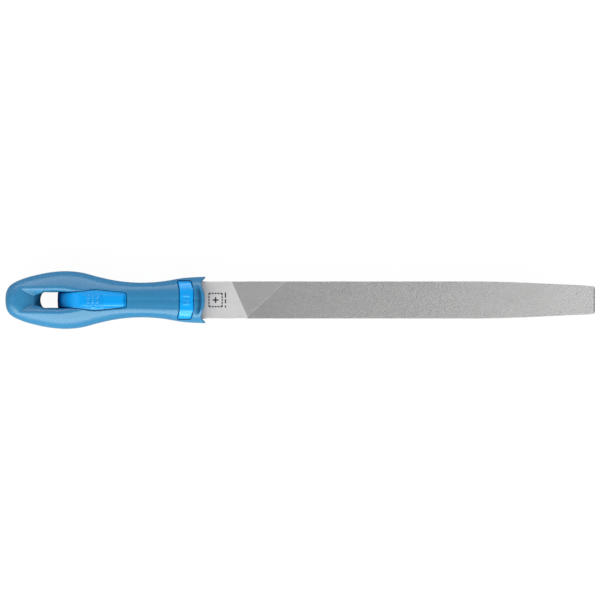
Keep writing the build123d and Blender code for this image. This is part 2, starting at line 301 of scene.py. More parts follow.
class Handle:
    """A quarter of the handle on a regular grid: its other three quarters are mirror images."""

    def __init__(self, first_s, last_s):
        self.first_s = first_s
        self.s = np.arange(first_s, last_s, GRID_STEP)[:, None, None]
        self.y = (np.arange(int(GRID_HALF_WIDTH / GRID_STEP)) + 0.5)[None, :, None] * GRID_STEP
        self.z = (np.arange(int(GRID_HALF_HEIGHT / GRID_STEP)) + 0.5)[None, None, :] * GRID_STEP
        self.half_width, self.half_height, self.flat = self.sizes()
        self.skin = self.skin_field() + SKIN_INSET

    def sizes(self):
        """Half width, half height and half flat at each station."""
        stations, rows = [], []
        for degrees in BUTT_ANGLES:
            angle = math.radians(degrees)
            stations.append(BUTT_DEPTH * (1 - math.cos(angle)))
            rows.append([size * math.sin(angle) ** BUTT_POWER for size in BUTT_SIZES])
        for s, *row in SECTIONS:
            stations.append(s)
            rows.append(row)
        s = self.s.ravel()
        cosine = np.clip(1 - s / BUTT_DEPTH, 0.0, 1.0)
        bulk = (1 - cosine**2) ** (BUTT_POWER / 2)
        found = []
        for size, column in zip(BUTT_SIZES, np.array(rows).T):
            values = np.where(s < stations[0], size * bulk, curve_through(stations, column, s))
            found.append(np.where(s > 0, values, 0.05)[:, None, None])
        return found

    def skin_field(self):
        """The handle's outer form."""
        width, height, flat = (a.reshape(-1, 1) for a in (self.half_width, self.half_height, self.flat))
        reach = np.minimum(CREASE_REACH, 0.45 * flat)
        t = np.linspace(0, 1, 16)[None, :]
        crease_y = flat + (2 * t - 1) * reach
        crease_z = height - t * t * reach * SIDE_SLOPE
        end_y, end_z = flat + reach, height - reach * SIDE_SLOPE
        pull = 0.5 * (width - end_y)
        t = np.linspace(0, 1, 48)[None, :]
        a, b, c, d = (1 - t) ** 3, 3 * t * (1 - t) ** 2, 3 * t * t * (1 - t), t**3
        side_y = a * end_y + b * (end_y + pull) + (c + d) * width
        side_z = a * end_z + b * (end_z - pull * SIDE_SLOPE) + c * 0.5 * height
        outline_y = np.concatenate([np.zeros_like(width), crease_y, side_y[:, 1:]], axis=1)
        outline_z = np.concatenate([height, crease_z, side_z[:, 1:]], axis=1)
        angle = np.arctan2(outline_z, outline_y)
        radius = np.hypot(outline_y, outline_z)
        wanted = np.arctan2(self.z[0], self.y[0])
        edge = np.stack([np.interp(wanted, angle[i, ::-1], radius[i, ::-1]) for i in range(len(angle))])
        gap = np.hypot(self.y, self.z) - edge
        steepness = np.sqrt(sum(g * g for g in np.gradient(gap, GRID_STEP)))
        return gap / np.clip(steepness, 0.6, 6.0)

    def box(self, first_s, last_s, half_width, half_height):
        along = np.maximum(first_s - self.s, self.s - last_s)
        return np.maximum(along, np.maximum(self.y - half_width, self.z - half_height))

    def tongue_plan(self, gap, end_gap):
        """Plan of the tongue, with its window's gap round it where it has left the slot."""
        neck_s, neck = TONGUE_NECK
        wide_s, wide = TONGUE_WIDE
        end_s, end = TONGUE_END
        widening = neck + (self.s - neck_s) * (wide - neck) / (wide_s - neck_s)
        narrowing = wide + (self.s - wide_s) * (end - wide) / (end_s - wide_s)
        half = round_min(round_max(widening, np.full_like(widening, neck), 0.8), narrowing, 0.9)
        half = half + gap * smooth_step(neck_s, wide_s, self.s)
        return round_max(self.y - half, self.s - end_s - end_gap, 2.2)

    def band_plan(self, gap):
        """Plan of the size band: straight across the flat, swept back over the sides."""
        outwards = (self.y - BAND_FLAT) / (BAND_HALF_WIDTH - BAND_FLAT)
        sweep = round_max(outwards, np.zeros_like(outwards), 0.3)
        rear = BAND[0] - gap - BAND_SWEEP[0] * sweep
        front = BAND[1] + gap - BAND_SWEEP[1] * sweep
        along = np.maximum(rear - self.s, self.s - front)
        return round_max(along, self.y - BAND_HALF_WIDTH - gap, 1.2)

    def at_neck(self):
        """1 where the tongue fills the slot from wall to wall, 0 where it lies in its own window."""
        return 1 - smooth_step(TONGUE_NECK[0], TONGUE_WIDE[0] - 6.0, self.s)

    def mouth(self):
        """The slot's flared mouth, above the bridge behind it."""
        stations, widths = zip(*MOUTH)
        width = curve_through(stations, widths, self.s)
        edge_height = self.half_height - np.maximum(width - self.flat, 0) * SIDE_SLOPE
        flare = (self.y - width + edge_height - self.z) / math.sqrt(2)
        flare = np.maximum(flare, self.s - stations[-1])
        corner_s = SLOT_REAR_S + SLOT_REAR_RADIUS - math.sqrt(SLOT_REAR_RADIUS**2 - SLOT_HALF_WIDTH**2)
        well_ends = (RAMP_LIP[0], corner_s, corner_s + 3.0)
        well_halves = (RAMP_LIP_HALF_WIDTH, SLOT_HALF_WIDTH, SLOT_HALF_WIDTH - 0.8)
        well_half = np.interp(self.s, well_ends, well_halves)
        well = np.maximum(self.y - well_half, self.s - TONGUE_NECK[0])
        fall = (RAMP_START[1] - RAMP_LIP[1]) / (RAMP_LIP[0] - RAMP_START[0])
        ramp = (self.z - RAMP_START[1] + fall * (self.s - RAMP_START[0])) / math.hypot(1, fall)
        lean = (NOSE_STEP[0] - RAMP_LIP[0]) / (RAMP_LIP[1] - NOSE_STEP[1])
        fall_face = (self.s - RAMP_LIP[0] + lean * (self.z - RAMP_LIP[1])) / math.hypot(1, lean)
        lean = (SLOT_REAR_S - NOSE_STEP[0]) / NOSE_STEP[1]
        wall = (self.s - self.rear_arc() + lean * self.z) / math.hypot(1, lean)
        bridge = round_max(round_max(ramp, self.z - RAMP_START[1], 1.5), fall_face, 1.0)
        bridge = round_max(bridge, wall, 0.6)
        return round_max(round_min(flare, well, 0.5), -bridge, 0.5)

    def rear_arc(self):
        """The slot's rear wall in plan."""
        return SLOT_REAR_S + SLOT_REAR_RADIUS - np.sqrt(np.maximum(SLOT_REAR_RADIUS**2 - self.y**2, 0.0))

    def slot(self):
        """The slot and the tongue's window, which run into each other."""
        draft = SLOT_DRAFT * self.z * (1 - smooth_step(NOSE_S, TONGUE_NECK[0], self.s))
        return round_max(self.tongue_plan(WINDOW_GAP, TONGUE_END_GAP) - draft, self.rear_arc() - self.s, 0.5)

    def collar_valley(self):
        """How far the skin is pressed in by the crescent-shaped valley behind the collar's lip."""
        line = LIP_S - LIP_RADIUS + np.sqrt(LIP_RADIUS**2 - np.minimum(self.y, LIP_RADIUS - 1) ** 2)
        behind = self.s - line
        fall = np.clip(1 + behind / (LIP_S - BAND[1]), 0.0, 1.0) ** 1.2
        profile = np.where(behind < 0, fall, np.exp(-((behind / LIP_FRONT_WIDTH) ** 2)))
        within = 1 - smooth_step(LIP_HALF_WIDTH - 4, LIP_HALF_WIDTH + 1, self.y)
        return LIP_VALLEY_DEPTH * profile * within

    def grip(self):
        """The soft jacket."""
        field = self.skin + self.collar_valley()
        field = round_max(field, -self.mouth(), MOUTH_ROUND)
        field = round_max(field, -self.slot(), SLOT_ROUND)
        field = round_max(field, -self.band_plan(WINDOW_GAP), EDGE_ROUND / 2)
        across, edge_s = zip(*COLLAR_EDGE)
        front = (self.s - curve_through(across, edge_s, self.y)) * 0.9
        field = round_max(field, front, EDGE_ROUND)
        field = round_max(field, -self.box(SEAT[1], 200.0, *POCKET), EDGE_ROUND / 2)
        field = np.maximum(field, -self.box(*BEAM))
        return np.maximum(field, -self.box(*SEAT))

    def emboss(self):
        """How far generic raised marks stand out of the tongue and the band."""
        rows = (self.y - DOT_PITCH * np.round(self.y / DOT_PITCH)) / DOT_HALF_WIDTH
        marks = np.zeros(np.broadcast(self.s, self.y).shape)
        for middle_s, reach in DOT_COLUMNS:
            dot = np.maximum(np.abs(self.s - middle_s) / DOT_HALF_LENGTH, np.abs(rows))
            marks = np.maximum(marks, (1 - smooth_step(0.75, 1.15, dot)) * (self.y < reach))
        line_s, half_length, reach = RAISED_LINE
        line = np.abs(self.s - line_s) / half_length
        marks = np.maximum(marks, (1 - smooth_step(0.6, 1.3, line)) * (self.y < reach))
        half_length, half_width = BAND_BAR
        along = np.abs(self.s - BAND_BARS_S) / half_length
        for middle_y in BAND_BARS_Y:
            bar = np.maximum(along, np.abs(self.y - middle_y) / half_width)
            marks = np.maximum(marks, 1 - smooth_step(0.8, 1.2, bar))
        return EMBOSS_HEIGHT * marks

    def socket(self):
        """The hollow for the tang, with its crush ribs."""
        share = (TANG_ROOT_S - self.s) / (TANG_ROOT_S - TANG_POINT_S)
        half_width = (TANG_ROOT[0] + share * (TANG_POINT[0] - TANG_ROOT[0])) / 2
        half_height = (TANG_ROOT[1] + share * (TANG_POINT[1] - TANG_ROOT[1])) / 2
        tang = np.maximum(self.y - half_width, self.z - half_height)
        ribs = np.minimum(self.y, self.z) - RIB_HALF_WIDTH
        hollow = np.minimum(tang - RIB_CLEARANCE, np.maximum(tang - SOCKET_CLEARANCE, -ribs))
        return np.maximum(hollow, SOCKET_END_S - self.s)

    def core(self):
        """The hard moulding."""
        panel = self.skin + PANEL_SET_BACK - self.emboss()
        crown = TONGUE_CROWN * np.minimum(self.y, TONGUE_WIDE[1]) ** 2
        plan = self.tongue_plan(0.0, 0.0) - NECK_OVERLAP * self.at_neck()
        tongue = round_max(plan, panel + crown, TONGUE_ROUND)
        window = self.tongue_plan(WINDOW_GAP, TONGUE_END_GAP) + FILL
        tongue = np.minimum(tongue, np.maximum(window, self.skin + WINDOW_GAP_DEPTH))
        band = round_max(self.band_plan(0.0), panel, EDGE_ROUND)
        window = self.band_plan(WINDOW_GAP) + FILL
        band = np.minimum(band, np.maximum(window, self.skin + BAND_GAP_DEPTH))
        behind = np.minimum(self.s - NOSE_S - NOSE_REACH, 0.0) / NOSE_REACH
        scaled = np.hypot(behind, self.z / NOSE_HALF_HEIGHT)
        slope = np.hypot(behind / NOSE_REACH, self.z / NOSE_HALF_HEIGHT**2) / np.maximum(scaled, 0.01)
        nose = (scaled - 1) / np.maximum(slope, 1 / 30)
        face = NOSE_S + NOSE_FACE_RADIUS - np.sqrt(NOSE_FACE_RADIUS**2 - self.y**2) - self.s
        tongue = round_max(round_max(tongue, nose, EDGE_ROUND), face, EDGE_ROUND)
        tongue = np.maximum(tongue, self.s - TONGUE_CUT_S)
        body = np.minimum(np.minimum(tongue, band), np.minimum(self.box(*BEAM), self.box(*SEAT)))
        return np.maximum(body, -self.socket())

    def mesh(self, name, quarter):
        """The whole surface of a quarter field and its mirror images."""
        half = np.concatenate([quarter[:, ::-1, :], quarter], axis=1)
        whole = np.concatenate([half[:, :, ::-1], half], axis=2)
        origin = (x_at(self.first_s), -self.y.max(), -self.z.max())
        points, quads = surface_net(whole, np.array(origin), GRID_STEP)
        return quad_mesh(name, points, quads)


# Blade: the CAD model's driving sizes. The teeth are this model's own.

SHOULDER_S = 126.0
BLADE_HALF_WIDTH = file_high.y / MM
BLADE_HALF_HEIGHT = file_high.z / MM
TOOTH_RISE = 0.1
TAPER_S = 300.0
TAPER_ARC_LENGTH = 40.0
TAPER_SLOPE = 0.047
TIP_HALF_HEIGHT = 2.4
TIP_CORNER_RADIUS = 1.6
CHAMFER = 0.3
SKIRT = 0.32  # the cut faces' rims drop straight down by this, below the deepest cut
TANG_SECTIONS = 14
TANG_BEVEL = 0.45
TANG_INSET = 0.03  # keeps the tang clear of the socket's ribs

# Two families of chisel cuts cross on each face. Each has its angle to the axis, the stations where its lines
# and its teeth start, its pitch along the axis, its depth, and the share of the pitch over which a tooth's back
# rises.
FIRST_CUT = {"angle": 66.0, "lines_s": 30.0, "start_s": 153.0, "pitch": 0.95, "depth": 0.14, "back": 0.68}
SECOND_CUT = {"angle": 43.0, "lines_s": 20.0, "start_s": 169.5, "pitch": 1.15, "depth": 0.125, "back": 0.56}
RUN_IN = 0.4  # how far ahead of its first valley a cut's face starts to fall
EDGE_CUT = {"pitch": 0.95, "depth": 0.16, "back": 0.65}
EDGE_CUT_LEAN = 2.6  # how far a cut on the long edge runs forwards from the upper face to the lower


def taper_drop(x, slope):
    """How far an outline of the blade has come in at x."""
    past = np.maximum(np.asarray(x, float) - x_at(TAPER_S), 0.0)
    on_arc = np.minimum(past, TAPER_ARC_LENGTH)
    return slope * (on_arc * on_arc / (2 * TAPER_ARC_LENGTH) + past - on_arc)


def half_width_at(x):
    return BLADE_HALF_WIDTH - taper_drop(x, TAPER_SLOPE)


def half_height_at(x):
    slope = (BLADE_HALF_HEIGHT - TIP_HALF_HEIGHT) / (TIP_X - x_at(TAPER_S) - TAPER_ARC_LENGTH / 2)
    return BLADE_HALF_HEIGHT - taper_drop(x, slope)


def blade_outline(inset):
    """The convex outline of the blade in plan, clockwise from its rear corner at +Y, moved in by inset."""
    corner_x = TIP_X - TIP_CORNER_RADIUS
    arc = TAPER_ARC_LENGTH * np.linspace(0, 1, 7) + x_at(TAPER_S)
    side = [(x, half_width_at(x) - inset) for x in (x_at(SHOULDER_S), *arc)]
    centre_y = half_width_at(corner_x) - TIP_CORNER_RADIUS
    radius = TIP_CORNER_RADIUS - inset
    for angle in np.radians((88, 70, 50, 30, 12, 0)):
        side.append((corner_x + radius * math.sin(math.pi / 2 - angle), centre_y + radius * math.sin(angle)))
    return side + [(x, -y) for x, y in reversed(side)]


def cut_lines(cut, last_x):
    """Lines of one family of cuts as places along the axis, and the height of the surface on each."""
    start = x_at(cut["start_s"])
    number = np.arange(int((last_x - start) / cut["pitch"]) + 1)
    valleys = start + number * cut["pitch"]
    crests = valleys + cut["back"] * cut["pitch"]
    places = np.stack([valleys, crests], axis=1).ravel()
    heights = np.tile([-cut["depth"], 0.0], len(number))
    smooth = [x_at(cut["lines_s"]), start - RUN_IN]
    return np.concatenate([smooth, places]), np.concatenate([[0.0, 0.0], heights])


def cut_face():
    """The upper face as triangles: smooth heel, then the first cut alone, then both cuts."""
    lean_first = 1 / math.tan(math.radians(FIRST_CUT["angle"]))
    lean_second = 1 / math.tan(math.radians(SECOND_CUT["angle"]))
    first, first_height = cut_lines(FIRST_CUT, TIP_X + BLADE_HALF_WIDTH * lean_first)
    second, second_height = cut_lines(SECOND_CUT, TIP_X + BLADE_HALF_WIDTH * lean_second)
    a, b = np.meshgrid(first, second, indexing="ij")
    y = (a - b) / (lean_first + lean_second)
    x = a - y * lean_first
    height = np.minimum(first_height[:, None], second_height[None, :])
    height[:2] = -TOOTH_RISE
    index = np.arange(x.size).reshape(x.shape)
    i, j = np.meshgrid(np.arange(len(first) - 1), np.arange(len(second) - 1), indexing="ij")
    i, j = i.ravel(), j.ravel()
    corners = np.stack([index[i, j], index[i + 1, j], index[i + 1, j + 1], index[i, j + 1]], axis=1)
    flip = ((i + j) % 2 == 1)[:, None]
    one = np.where(flip, corners[:, [0, 3, 1]], corners[:, [0, 2, 1]])
    two = np.where(flip, corners[:, [1, 3, 2]], corners[:, [0, 3, 2]])
    return np.stack([x.ravel(), y.ravel(), height.ravel()], axis=1), np.concatenate([one, two])


def clipped_face():
    """The upper face inside the blade's outline, as a bmesh in millimetres."""
    points, triangles = cut_face()
    outline = np.array(blade_outline(CHAMFER))
    keep = np.ones(len(triangles), bool)
    crossing = np.zeros(len(triangles), bool)
    planes = []
    for start, end in zip(outline, np.roll(outline, -1, axis=0)):
        outward = np.array([-(end - start)[1], (end - start)[0]])
        outward = outward / np.linalg.norm(outward)
        distance = (points[:, :2] - start) @ outward
        beyond = distance[triangles] > 1e-6
        keep &= ~beyond.all(axis=1)
        crossing |= beyond.any(axis=1)
        planes.append((Vector((*start, 0)), Vector((*outward, 0))))
    parts = []
    for chosen in (keep & ~crossing, keep & crossing):
        part = bmesh.new()
        used, renumbered = np.unique(triangles[chosen], return_inverse=True)
        made = [part.verts.new(points[v]) for v in used]
        for a, b, c in renumbered.reshape(-1, 3):
            part.faces.new((made[a], made[b], made[c]))
        parts.append(part)
    inner, rim = parts
    for place, outward in planes:
        geometry = rim.verts[:] + rim.edges[:] + rim.faces[:]
        plane = {"plane_co": place, "plane_no": outward, "clear_outer": True}
        bmesh.ops.bisect_plane(rim, geom=geometry, dist=1e-5, **plane)
    spare = bpy.data.meshes.new("spare")
    rim.to_mesh(spare)
    rim.free()
    inner.from_mesh(spare)
    bpy.data.meshes.remove(spare)
    bmesh.ops.remove_doubles(inner, verts=inner.verts, dist=2e-4)
    return inner


def rim_order(surface):
    """The corners of a surface's one open rim, in order round it."""
    neighbours = {}
    for edge in surface.edges:
        if edge.is_boundary:
            for a, b in (edge.verts, reversed(edge.verts)):
                neighbours.setdefault(a, []).append(b)
    first = min(neighbours, key=lambda v: (round(v.co.x, 3), -v.co.y))
    second = max(neighbours[first], key=lambda v: (v.co.x, v.co.y))
    order = [first, second]
    while True:
        following = [v for v in neighbours[order[-1]] if v is not order[-2]][0]
        if following is first:
            return order
        order.append(following)


def along_outline(x, y):
    """How far round the outline a point is, counted from where the tip's corner starts at +Y."""
    corner_x = TIP_X - TIP_CORNER_RADIUS
    centre_y = half_width_at(corner_x) - TIP_CORNER_RADIUS
    quarter = TIP_CORNER_RADIUS * math.pi / 2
    if x < corner_x:
        place = x - corner_x
    elif abs(y) > centre_y:
        place = TIP_CORNER_RADIUS * math.atan2(x - corner_x, abs(y) - centre_y)
    else:
        place = quarter + centre_y - abs(y)
    return place if y > 0 else 2 * (quarter + centre_y) - place


def zipped(first, first_places, second, second_places):
    """Triangles between two rows of corners, each row with rising places."""
    triangles = []
    i = j = 0
    while i < len(first) - 1 or j < len(second) - 1:
        second_done = j == len(second) - 1
        if second_done or (i < len(first) - 1 and first_places[i + 1] <= second_places[j + 1]):
            triangles.append((first[i], first[i + 1], second[j]))
            i += 1
        else:
            triangles.append((first[i], second[j + 1], second[j]))
            j += 1
    return triangles


def edge_row():
    """The row of corners round the blade's edge under the upper face, cut along both long edges."""
    corner_x = TIP_X - TIP_CORNER_RADIUS
    start = x_at(FIRST_CUT["start_s"])
    cuts = [(x_at(SHOULDER_S), 0.0), (x_at(SHOULDER_S + 9.0), 0.0), (start - 0.3, 0.0)]
    for number in range(int((corner_x - 0.6 - start) / EDGE_CUT["pitch"])):
        valley = start + number * EDGE_CUT["pitch"]
        cuts += [(valley, EDGE_CUT["depth"]), (valley + EDGE_CUT["back"] * EDGE_CUT["pitch"], 0.0)]
    plus = [(x, half_width_at(x) - inset) for x, inset in cuts]
    minus = []
    for x, inset in cuts:
        fade = smooth_step(start, start + 12, x) * (1 - smooth_step(corner_x - 12, corner_x, x))
        lean = EDGE_CUT_LEAN * fade
        minus.append((x + lean, inset - half_width_at(x + lean)))
    tip = blade_outline(0.0)
    tip = [(x, y) for x, y in tip if x > corner_x - 0.01]
    return plus + tip + minus[::-1]


def tang_ring(s):
    """One cross-section of the tang: a rectangle with bevelled corners, as points in Y and Z."""
    share = (SHOULDER_S - s) / (TANG_ROOT_S - TANG_POINT_S)
    sizes = [root + share * (point - root) for root, point in zip(TANG_ROOT, TANG_POINT)]
    half_y, half_z = (size / 2 - TANG_INSET for size in sizes)
    b = TANG_BEVEL
    quarter = [(half_y, half_z - b), (half_y - b, half_z)]
    ring = quarter + [(-y, z) for y, z in reversed(quarter)]
    return ring + [(-y, -z) for y, z in ring]


HEEL, SINGLE_CUT, CUT, EDGE, END, TANG = range(6)
END_BEVEL = 0.9  # how far the dark end of the tip reaches on to the faces


def face_kind(place):
    """Which steel a cut face's triangle is made of, from its middle."""
    if place[0] > TIP_X - END_BEVEL and abs(place[1]) < half_width_at(TIP_X) - TIP_CORNER_RADIUS:
        return END
    start = x_at(SECOND_CUT["start_s"]) + place[1] / math.tan(math.radians(SECOND_CUT["angle"]))
    return CUT if place[0] > start else SINGLE_CUT


def blade_mesh():
    """The whole file as one closed mesh."""
    surface = clipped_face()
    surface.verts.index_update()
    rim = [v.index for v in rim_order(surface)]
    face = np.array([v.co for v in surface.verts])
    smooth = np.abs(face[:, 2] + TOOTH_RISE) < 1e-4
    faces = [tuple(v.index for v in f.verts) for f in surface.faces]
    kinds = [HEEL if smooth[list(f)].all() else face_kind(face[list(f)].mean(axis=0)) for f in faces]
    surface.free()
    face[:, 2] += half_height_at(face[:, 0])

    at_shoulder = face[rim, 0] < x_at(SHOULDER_S) + 1e-4
    last = next(i for i, v in enumerate(rim) if i > 2 and at_shoulder[i] and face[v, 1] < 0)
    rim = rim[: last + 1]
    skirt = face[rim].copy()
    skirt[:, 2] = half_height_at(skirt[:, 0]) - SKIRT
    row = np.array([(x, y, half_height_at(x) - SKIRT - CHAMFER) for x, y in edge_row()])
    half = np.concatenate([face, skirt, row])
    skirt_ids = list(range(len(face), len(face) + len(skirt)))
    row_ids = list(range(len(face) + len(skirt), len(half)))
    for a, b, c, d in zip(rim, rim[1:], skirt_ids[1:], skirt_ids):
        faces.append((a, b, c, d))
        kinds.append(EDGE)
    skirt_places = [along_outline(x, y) for x, y in skirt[:, :2]]
    row_places = [along_outline(x, y) for x, y in row[:, :2]]
    bevel = zipped(skirt_ids, skirt_places, row_ids, row_places)
    faces += bevel
    kinds += [EDGE] * len(bevel)

    # The lower half is the upper half turned half a turn about the axis.
    count = len(half)
    points = np.concatenate([half, half * (1, -1, -1)])
    faces += [tuple(v + count for v in f) for f in faces]
    kinds += kinds
    other_row = [v + count for v in reversed(row_ids)]
    for a, b, c, d in zip(row_ids, row_ids[1:], other_row[1:], other_row):
        faces.append((a, b, c, d))
        kinds.append(EDGE)

    # Tang, then the shoulder's face between its root and the blade's open rear rim
    stations = np.linspace(SHOULDER_S, TANG_POINT_S, TANG_SECTIONS)
    rings = [[(x_at(s), y, z) for y, z in tang_ring(s)] for s in stations]
    sides = len(rings[0])
    first_id = len(points)
    points = np.concatenate([points, np.array(rings).reshape(-1, 3)])
    for ring in range(TANG_SECTIONS - 1):
        for side in range(sides):
            a = first_id + ring * sides + side
            b = first_id + ring * sides + (side + 1) % sides
            faces.append((a, b, b + sides, a + sides))
            kinds.append(TANG)
    faces.append(tuple(range(first_id + (TANG_SECTIONS - 1) * sides, first_id + TANG_SECTIONS * sides)))
    kinds.append(TANG)

    mesh = bpy.data.meshes.new("file_steel")
    mesh.from_pydata((points * MM).tolist(), [], faces)
    mesh.polygons.foreach_set("material_index", kinds)
    whole = bmesh.new()
    whole.from_mesh(mesh)
    close_shoulder(whole)
    bmesh.ops.recalc_face_normals(whole, faces=whole.faces)
    whole.to_mesh(mesh)
    whole.free()
    return mesh


def close_shoulder(whole):
    """Fills the ring between the blade's rear rim and the tang's root."""
    rims = []
    waiting = {v for e in whole.edges if e.is_boundary for v in e.verts}
    while waiting:
        loop, reached = [], [waiting.pop()]
        while reached:
            vertex = reached.pop()
            loop.append(vertex)
            near = {e.other_vert(vertex) for e in vertex.link_edges if e.is_boundary} & waiting
            waiting -= near
            reached += near
        rims.append(loop)
    rims.sort(key=lambda loop: -max(abs(v.co.y) for v in loop))
    outer, inner = rims
    rows = []
    for loop in (outer, inner):
        loop.sort(key=lambda v: math.atan2(v.co.z, v.co.y))
        places = [math.atan2(v.co.z, v.co.y) for v in loop]
        rows.append((loop + loop[:1], places + [places[0] + 2 * math.pi]))
    (outer, outer_places), (inner, inner_places) = rows
    for corners in zipped(outer, outer_places, inner, inner_places):
        new = whole.faces.new(corners)
        new.material_index = TANG


# Sign on the heel: how far it stands off the steel, its sizes, and the bars beside it as middle and length
MARK_STAND = 0.012
MARK_THICKNESS = 0.05
MARK_S = 136.7
MARK_SIDE = 8.6
MARK_DASHES = 5
MARK_DASH = 1.25
MARK_LINE = 0.9
MARK_CROSS = 3.8
MARK_BARS_X = 6.4
MARK_BARS = ((3.2, 3.4), (-0.8, 2.6), (-4.2, 1.4))


# Materials. Each is laid out in the piece's own space, in metres, so it stays put when the piece moves.

STEEL_WARMTH = (1.04, 1.0, 1.035)
HALF_WAY_SHADE = (0.38, 0.42, 0.5)  # what a colour is multiplied by, as painted shade, half way down into a hollow
GRIP_BLUES = ((0.019, 0.145, 0.305), (0.022, 0.157, 0.326), (0.026, 0.169, 0.347))
CORE_BLUES = ((0.0, 0.224, 0.615), (0.0, 0.242, 0.645), (0.001, 0.260, 0.675))


class Surface:
    """A material built from nodes, with short ways to add the ones used here."""

    def __init__(self, name, **values):
        self.material = bpy.data.materials.new(name)
        self.material.use_nodes = True
        self.tree = self.material.node_tree
        self.shader = self.tree.nodes["Principled BSDF"]
        self.place = self.node("ShaderNodeTexCoord").outputs["Object"]
        for key, value in values.items():
            self.shader.inputs[key.replace("_", " ")].default_value = value

    def node(self, kind, **settings):
        made = self.tree.nodes.new(kind)
        for key, value in settings.items():
            setattr(made, key, value)
        return made

    def join(self, output, socket):
        self.tree.links.new(output, socket)

    def noise(self, cells_per_mm, detail=3.0, roughness=0.55):
        """Noise from 0 to 1, with its own cell count along each axis."""
        stretch = self.node("ShaderNodeMapping")
        stretch.inputs["Scale"].default_value = [n / MM for n in cells_per_mm]
        self.join(self.place, stretch.inputs["Vector"])
        made = self.node("ShaderNodeTexNoise")
        made.inputs["Scale"].default_value = 1.0
        made.inputs["Detail"].default_value = detail
        made.inputs["Roughness"].default_value = roughness
        self.join(stretch.outputs["Vector"], made.inputs["Vector"])
        return made.outputs["Fac"]

    def ramp(self, source, *stops):
        """Colours or greys at places from 0 to 1."""
        made = self.node("ShaderNodeValToRGB")
        band = made.color_ramp
        while len(band.elements) < len(stops):
            band.elements.new(0.5)
        for element, (place, colour) in zip(band.elements, stops):
            element.position = place
            element.color = (*colour, 1.0) if isinstance(colour, tuple) else (colour, colour, colour, 1.0)
        self.join(source, made.inputs["Fac"])
        return made.outputs["Color"]

    def blend(self, mode, share, one, two):
        """Two colours mixed; share is a number or an output."""
        made = self.node("ShaderNodeMix", data_type="RGBA", blend_type=mode)
        colours = [socket for socket in made.inputs if socket.type == "RGBA"]
        if isinstance(share, float):
            made.inputs["Factor"].default_value = share
        else:
            self.join(share, made.inputs["Factor"])
        self.join(one, colours[0])
        self.join(two, colours[1])
        return next(socket for socket in made.outputs if socket.type == "RGBA")

    def painted_hollow_shade(self, colour, reach, closed, deepest_shade):
        """A colour darkened by painted shade in hollows over a reach in millimetres, down to the darkest colour
        where openness is closed, with the gloss dimmed there as painted shade on reflections.
        """
        occlusion = self.node("ShaderNodeAmbientOcclusion", samples=6)
        occlusion.inputs["Distance"].default_value = reach * MM
        openness = occlusion.outputs["AO"]
        # Painted shade: ambient occlusion darkens the colour, and takes the gloss away, in the hollows.
        shade = self.ramp(openness, (closed, deepest_shade), ((closed + 0.9) / 2, HALF_WAY_SHADE), (0.9, 1.0))
        gloss = self.shader.inputs["Specular IOR Level"]
        self.join(self.ramp(openness, (closed + 0.1, 0.0), (0.9, gloss.default_value)), gloss)
        return self.blend("MULTIPLY", 1.0, colour, shade)

    def bump(self, *layers):
        """Bumps laid over each other: each layer is a height, its strength and its size in millimetres."""
        normal = None
        for height, strength, high in layers:
            made = self.node("ShaderNodeBump")
            made.inputs["Strength"].default_value = strength
            made.inputs["Distance"].default_value = high * MM
            self.join(height, made.inputs["Height"])
            if normal:
                self.join(normal, made.inputs["Normal"])
            normal = made.outputs["Normal"]
        self.join(normal, self.shader.inputs["Normal"])


def grip_material():
    """Soft-touch jacket: satin, with a fine eroded texture, faint flow marks and painted shade in its hollows.
    """
    made = Surface("soft_touch_blue", IOR=1.48, Specular_IOR_Level=0.39)
    flow = made.noise((0.012, 0.06, 0.06), detail=4.0)
    grain = made.noise((2.2, 2.2, 2.2), detail=2.0)
    colour = made.ramp(flow, *zip((0.3, 0.5, 0.72), GRIP_BLUES))
    speck = made.ramp(grain, (0.35, 0.86), (0.65, 1.0))
    # Painted shade: the colour falls to a dark blue-grey in hollows, and the gloss fades there.
    colour = made.painted_hollow_shade(made.blend("MULTIPLY", 1.0, colour, speck), 6.0, 0.2, (0.06, 0.14, 0.22))
    made.join(colour, made.shader.inputs["Base Color"])
    polish = made.ramp(made.noise((0.3, 0.3, 0.3)), (0.3, 0.22), (0.7, 0.32))
    made.join(polish, made.shader.inputs["Roughness"])
    made.bump((grain, 0.25, 0.05), (made.noise((0.05, 0.09, 0.09)), 0.2, 0.4))
    return made.material


def core_material():
    """Hard bright moulding: glossier, with a shallow eroded texture and deep painted shade, near-black navy, in
    its hollows.
    """
    made = Surface("bright_blue", IOR=1.5, Specular_IOR_Level=0.6, Specular_Tint=(0.52, 0.92, 1.0, 1.0))
    flow = made.noise((0.03, 0.08, 0.08), detail=4.0)
    grain = made.noise((1.6, 1.6, 1.6), detail=2.0)
    colour = made.ramp(flow, *zip((0.3, 0.5, 0.72), CORE_BLUES))
    speck = made.ramp(grain, (0.3, 0.9), (0.7, 1.0))
    # Painted shade: the colour falls to near-black navy where a hollow is deep, as round the tongue's nose in
    # the slot, and the gloss fades there.
    colour = made.painted_hollow_shade(made.blend("MULTIPLY", 1.0, colour, speck), 14.0, 0.6, (0.0, 0.03, 0.14))
    made.join(colour, made.shader.inputs["Base Color"])
    polish = made.ramp(made.noise((0.4, 0.4, 0.4)), (0.3, 0.13), (0.7, 0.21))
    made.join(polish, made.shader.inputs["Roughness"])
    made.bump((grain, 0.2, 0.05))
    return made.material


